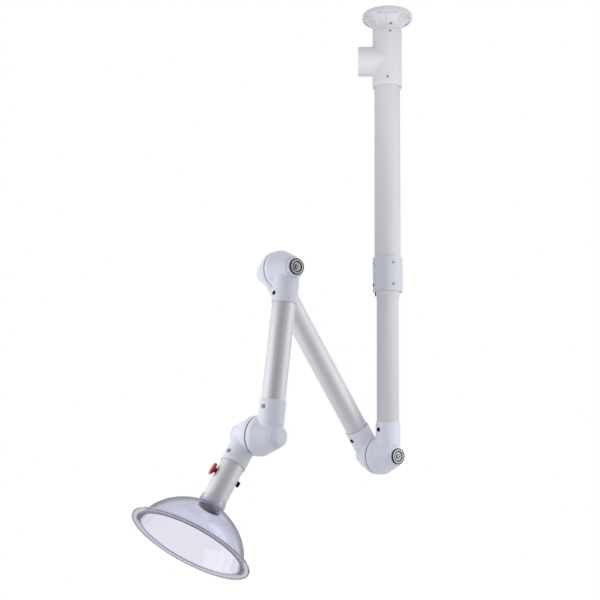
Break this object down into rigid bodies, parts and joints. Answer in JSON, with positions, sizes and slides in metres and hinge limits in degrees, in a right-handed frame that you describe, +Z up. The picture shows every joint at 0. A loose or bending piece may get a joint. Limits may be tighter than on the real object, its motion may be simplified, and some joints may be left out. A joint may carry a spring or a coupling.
{
  "type": "fume extraction arm",
  "caption": "Ceiling-mounted articulated fume extraction arm: ribbed flange and duct tee, telescopic swivel column, hollow friction joints with tension knobs, damper and clear domed hood.",
  "frame": {"origin": "centre of the flat top face of the ceiling flange", "axes": "+Z up into the ceiling, along the column; -X along the duct spigot; -Y towards the viewer of the picture"},
  "size_m": [0.8542, 0.7082, 1.9088],
  "materials": {
    "white_plastic": "satin",
    "clear_plastic": "gloss",
    "black_rubber": "matte",
    "black_plastic": "satin",
    "red_plastic": "gloss",
    "steel": "satin"
  },
  "bodies": {
    "column": {"ceiling_flange": "white_plastic", "tee_fitting": "white_plastic", "upper_tube": "white_plastic", "column_coupling": "white_plastic"},
    "swivel": {"swivel_bush": "white_plastic", "bush_clamp_screw": "black_plastic"},
    "lower_column": {"lower_tube": "white_plastic", "slide_seal_ring": "black_rubber", "shoulder_knob_housing": "white_plastic", "shoulder_column_screw": "black_plastic", "shoulder_seal_ring": "black_rubber"},
    "boom": {"shoulder_cap_housing": "white_plastic", "shoulder_boom_screw": "black_plastic", "shoulder_tension_rod": "steel", "shoulder_rod_washer": "steel", "shoulder_rod_nut": "steel", "shoulder_end_cap": "white_plastic", "boom_tube": "white_plastic", "elbow_cap_housing": "white_plastic", "elbow_boom_screw": "black_plastic", "elbow_tension_rod": "steel", "elbow_rod_washer": "steel", "elbow_rod_nut": "steel", "elbow_end_cap": "white_plastic", "elbow_seal_ring": "black_rubber"},
    "forearm": {"elbow_knob_housing": "white_plastic", "elbow_forearm_screw": "black_plastic", "forearm_tube": "white_plastic", "wrist_cap_housing": "white_plastic", "wrist_forearm_screw": "steel", "wrist_tension_rod": "steel", "wrist_rod_washer": "steel", "wrist_rod_nut": "steel", "wrist_end_cap": "white_plastic", "wrist_seal_ring": "black_rubber"},
    "head": {"wrist_knob_housing": "white_plastic", "wrist_damper_screw": "steel", "damper_tube": "white_plastic", "hood": "clear_plastic", "damper_bush": "black_plastic"},
    "damper": {"damper_disc": "white_plastic", "damper_shaft": "steel", "damper_nut": "black_plastic", "damper_knob": "red_plastic"},
    "shoulder_knob": {"shoulder_knob": "white_plastic", "shoulder_knob_ring": "black_rubber", "shoulder_knob_bearing": "steel"},
    "elbow_knob": {"elbow_knob": "white_plastic", "elbow_knob_ring": "black_rubber", "elbow_knob_bearing": "steel"},
    "wrist_knob": {"wrist_knob": "white_plastic", "wrist_knob_ring": "black_rubber", "wrist_knob_bearing": "steel"}
  },
  "joints": [
    {"name": "column_swivel", "type": "hinge", "parent": "column", "child": "swivel", "pos_m": [0, 0, -0.973], "axis": [0, 0, 1], "continuous": true},
    {"name": "column_slide", "type": "slide", "parent": "swivel", "child": "lower_column", "axis": [0, 0, 1], "range_m": [-0.1, 0.35]},
    {"name": "shoulder_hinge", "type": "hinge", "parent": "lower_column", "child": "boom", "pos_m": [-0.02733, 0.03448, -1.545], "axis": [0.6211, -0.7837, 0], "range_deg": [-25, 65]},
    {"name": "elbow_hinge", "type": "hinge", "parent": "boom", "child": "forearm", "pos_m": [-0.35259, -0.22331, -0.95666], "axis": [-0.6211, 0.7837, 0], "range_deg": [-20, 90]},
    {"name": "wrist_hinge", "type": "hinge", "parent": "forearm", "child": "head", "pos_m": [-0.40762, -0.2685, -1.48195], "axis": [-0.7868, 0.6166, 0.027], "range_deg": [-45, 75]},
    {"name": "damper_turn", "type": "hinge", "parent": "head", "child": "damper", "pos_m": [-0.50073, -0.31049, -1.60656], "axis": [0.8086, 0.2685, -0.5235], "range_deg": [0, 90]},
    {"name": "shoulder_knob_turn", "type": "hinge", "parent": "lower_column", "child": "shoulder_knob", "pos_m": [-0.02733, 0.03448, -1.545], "axis": [0.6211, -0.7837, 0], "continuous": true},
    {"name": "elbow_knob_turn", "type": "hinge", "parent": "forearm", "child": "elbow_knob", "pos_m": [-0.35259, -0.22331, -0.95666], "axis": [0.6211, -0.7837, 0], "continuous": true},
    {"name": "wrist_knob_turn", "type": "hinge", "parent": "head", "child": "wrist_knob", "pos_m": [-0.40762, -0.2685, -1.48195], "axis": [-0.7868, 0.6166, 0.027], "continuous": true}
  ]
}
